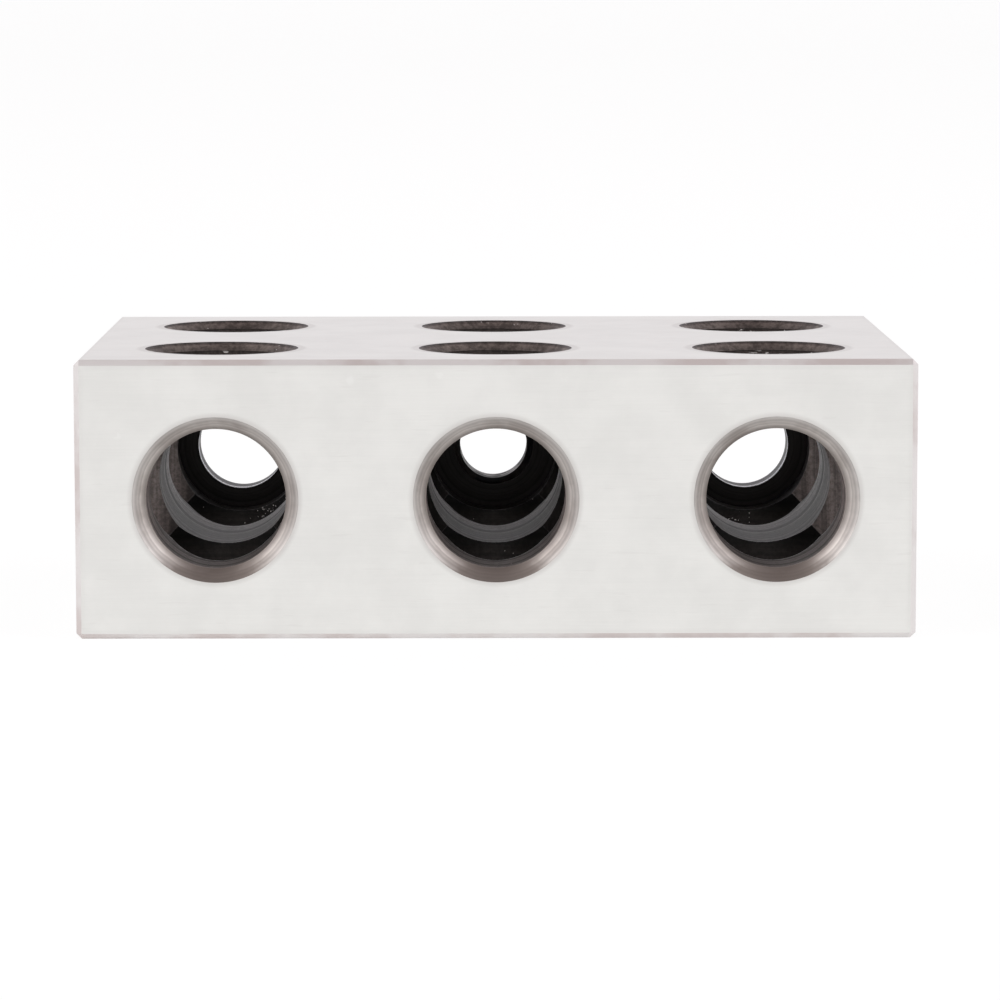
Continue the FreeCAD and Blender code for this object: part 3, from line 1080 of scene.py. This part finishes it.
    def _shade(self, mesh: bpy.types.Mesh) -> None:
        """Sets each bore wall's corner normals from the cylinder that it lies on.

        Args:
            mesh: the cut block.
        """
        mesh.set_sharp_from_angle(angle=math.radians(25.0))
        normals = np.array([corner.vector for corner in mesh.corner_normals], float)
        places = np.array([vertex.co for vertex in mesh.vertices], float)
        corners = np.array([loop.vertex_index for loop in mesh.loops])
        walls = {"face_bore_wall": Axis.Z, "end_bore_wall": Axis.X, "front_bore_wall": Axis.Y,
                 "shank_wall": Axis.Y}
        names = [material.name for material in mesh.materials]
        for polygon in mesh.polygons:
            axis = walls.get(names[polygon.material_index])
            if axis is None:
                continue
            loops = np.array(polygon.loop_indices)
            centre = self._axis_through(np.array(polygon.center), axis)
            inward = centre - places[corners[loops]]
            inward[:, axis.value] = 0.0
            normals[loops] = inward / np.linalg.norm(inward, axis=1)[:, None]
        mesh.normals_split_custom_set([tuple(normal) for normal in normals])

    def _axis_through(self, place: np.ndarray, axis: Axis) -> np.ndarray:
        """Returns a point on the axis of the bore of that family that is nearest to a place."""
        pitch = self.layout.pitch
        column = round(place[0] / pitch) * pitch
        row = math.copysign(pitch / 2, place[1])
        return np.array([column, row, self.layout.middle])


@dataclass
class Stage:
    """A pale floor that turns up into a backdrop all round."""

    colour: Colour = (1.0, 1.0, 1.0)
    radius: float = 3.0
    rise: float = 0.8
    segments: int = 96

    def build(self) -> bpy.types.Object:
        """Builds the floor as one smooth dish with its centre under the block.

        Returns:
            The floor.
        """
        shape = bmesh.new()
        rings = []
        steps = 12
        outline = [(self.radius * share, 0.0) for share in (0.1, 0.4, 0.75, 1.0)]
        outline += [(self.radius + self.rise * math.sin(math.pi / 2 * step / steps),
                     self.rise * (1 - math.cos(math.pi / 2 * step / steps))) for step in range(1, steps + 1)]
        for reach, height in outline:
            turn = [2.0 * math.pi * index / self.segments for index in range(self.segments)]
            rings.append([shape.verts.new((reach * math.cos(a), reach * math.sin(a), height)) for a in turn])
        shape.faces.new(rings[0])
        for inner, outer in zip(rings, rings[1:]):
            for index in range(self.segments):
                after = (index + 1) % self.segments
                shape.faces.new((inner[index], outer[index], outer[after], inner[after]))
        mesh = bpy.data.meshes.new("floor")
        shape.to_mesh(mesh)
        shape.free()
        mesh.shade_smooth()
        mesh.materials.append(self._paper())
        floor = bpy.data.objects.new("floor", mesh)
        bpy.context.scene.collection.objects.link(floor)
        return floor

    def _paper(self) -> bpy.types.Material:
        """Makes matt white paper that reads as white to the eye and in the steel, and keeps a shadow."""
        paper = bpy.data.materials.new("white_paper")
        paper.use_nodes = True
        paper.node_tree.nodes.clear()
        wiring = Wiring(paper.node_tree)
        matt = wiring.add("ShaderNodeBsdfDiffuse", {"Color": (*self.colour, 1.0)})
        glow = wiring.add("ShaderNodeEmission", {"Color": (1.0, 1.0, 1.0, 1.0), "Strength": 1.04})
        path = wiring.add("ShaderNodeLightPath")
        seen = wiring.math("MAXIMUM", path.outputs["Is Camera Ray"], path.outputs["Is Glossy Ray"])
        share = wiring.math("MULTIPLY", seen, 0.86)
        mixed = wiring.add("ShaderNodeMixShader", {0: share, 1: matt.outputs[0], 2: glow.outputs[0]})
        wiring.add("ShaderNodeOutputMaterial", {0: mixed.outputs[0]})
        return paper


@dataclass(frozen=True)
class Softbox:
    """A square studio lamp that looks at the block."""

    name: str
    place: tuple[float, float, float]
    size: float
    radiance: float
    colour: Colour = (1.0, 1.0, 1.0)

    def build(self, target: Vector) -> bpy.types.Object:
        """Places the lamp.

        Args:
            target: the point that it faces.

        Returns:
            The lamp.
        """
        data = bpy.data.lights.new(self.name, "AREA")
        data.shape = "SQUARE"
        data.size = self.size
        data.energy = self.radiance * math.pi * self.size ** 2
        data.color = self.colour
        lamp = bpy.data.objects.new(self.name, data)
        lamp.location = self.place
        lamp.rotation_euler = (target - Vector(self.place)).to_track_quat("-Z", "Y").to_euler()
        bpy.context.scene.collection.objects.link(lamp)
        return lamp


@dataclass(frozen=True)
class Studio:
    """Plain soft light: a pale sky that dims overhead, and a softbox at each side."""

    horizon: Colour = (1.0, 0.965, 1.0)
    zenith: Colour = (0.36, 0.32, 0.32)
    boxes: tuple[Softbox, ...] = (
        Softbox("softbox_left", (-0.9, -0.35, 0.85), 0.8, 1.7, (1.0, 0.985, 0.98)),
        Softbox("softbox_right", (0.9, -0.25, 0.85), 0.8, 1.5, (0.99, 0.985, 1.0)),
    )

    def build(self, target: Vector) -> None:
        """Makes the sky and the lamps.

        Args:
            target: the point that the lamps face.
        """
        sky = bpy.data.worlds.new("studio_sky")
        sky.use_nodes = True
        sky.node_tree.nodes.clear()
        wiring = Wiring(sky.node_tree)
        facing = wiring.add("ShaderNodeTexCoord").outputs["Generated"]
        height = wiring.add("ShaderNodeSeparateXYZ", {0: facing}).outputs[2]
        upward = wiring.ramp(height, 0.36, 0.95)
        colour = wiring.tint(upward, self.horizon, self.zenith)
        light = wiring.add("ShaderNodeBackground", {"Color": colour, "Strength": 1.0})
        wiring.add("ShaderNodeOutputWorld", {0: light.outputs[0]})
        bpy.context.scene.world = sky
        for box in self.boxes:
            box.build(target)


@dataclass(frozen=True)
class Viewpoint:
    """The camera: low in front of the block, a little left of its middle."""

    place: tuple[float, float, float] = (-2.315 * MM, -416.93 * MM, 59.77 * MM)
    yaw: float = 0.00679
    pitch: float = 0.11968
    roll: float = -0.0007
    lens: float = 157.10

    def build(self) -> bpy.types.Object:
        """Places the camera and makes it the scene's own.

        Returns:
            The camera.
        """
        data = bpy.data.cameras.new("camera")
        data.sensor_width = 36.0
        data.lens = self.lens
        data.clip_start = 0.01
        data.clip_end = 50.0
        camera = bpy.data.objects.new("camera", data)
        ahead = Vector((math.sin(self.yaw) * math.cos(self.pitch), math.cos(self.yaw) * math.cos(self.pitch),
                        -math.sin(self.pitch)))
        side = Vector((math.cos(self.yaw), -math.sin(self.yaw), 0.0))
        over = side.cross(ahead)
        tilted_side = math.cos(self.roll) * side + math.sin(self.roll) * over
        tilted_over = -math.sin(self.roll) * side + math.cos(self.roll) * over
        turn = Matrix((tilted_side, tilted_over, -ahead)).transposed().to_4x4()
        camera.matrix_world = Matrix.Translation(Vector(self.place)) @ turn
        bpy.context.scene.collection.objects.link(camera)
        bpy.context.scene.camera = camera
        return camera


def main() -> None:
    """Builds the block, dresses it, and sets the stage, the light and the camera."""
    logging.basicConfig(level=logging.INFO, format="%(name)s: %(message)s")
    low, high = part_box(NODE)
    size = high - low
    layout = BoreLayout(size.x, size.y, size.z)
    effects = Effects(layout)
    materials = SteelSet().make(effects)
    log.info("made %d finishes", len(materials))
    block = SetupBlock(layout, materials)
    body = block.build()
    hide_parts(NODE)
    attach(body, BODY)
    log.info("cut %s: %d faces", body.name, len(body.data.polygons))
    Stage().build()
    log.info("laid the floor")
    Studio().build(Vector((0.0, 0.0, size.z / 2)))
    Viewpoint().build()
    log.info("set the light and the camera")
    bpy.context.scene.view_settings.view_transform = "Standard"


if __name__ == "__main__":
    main()
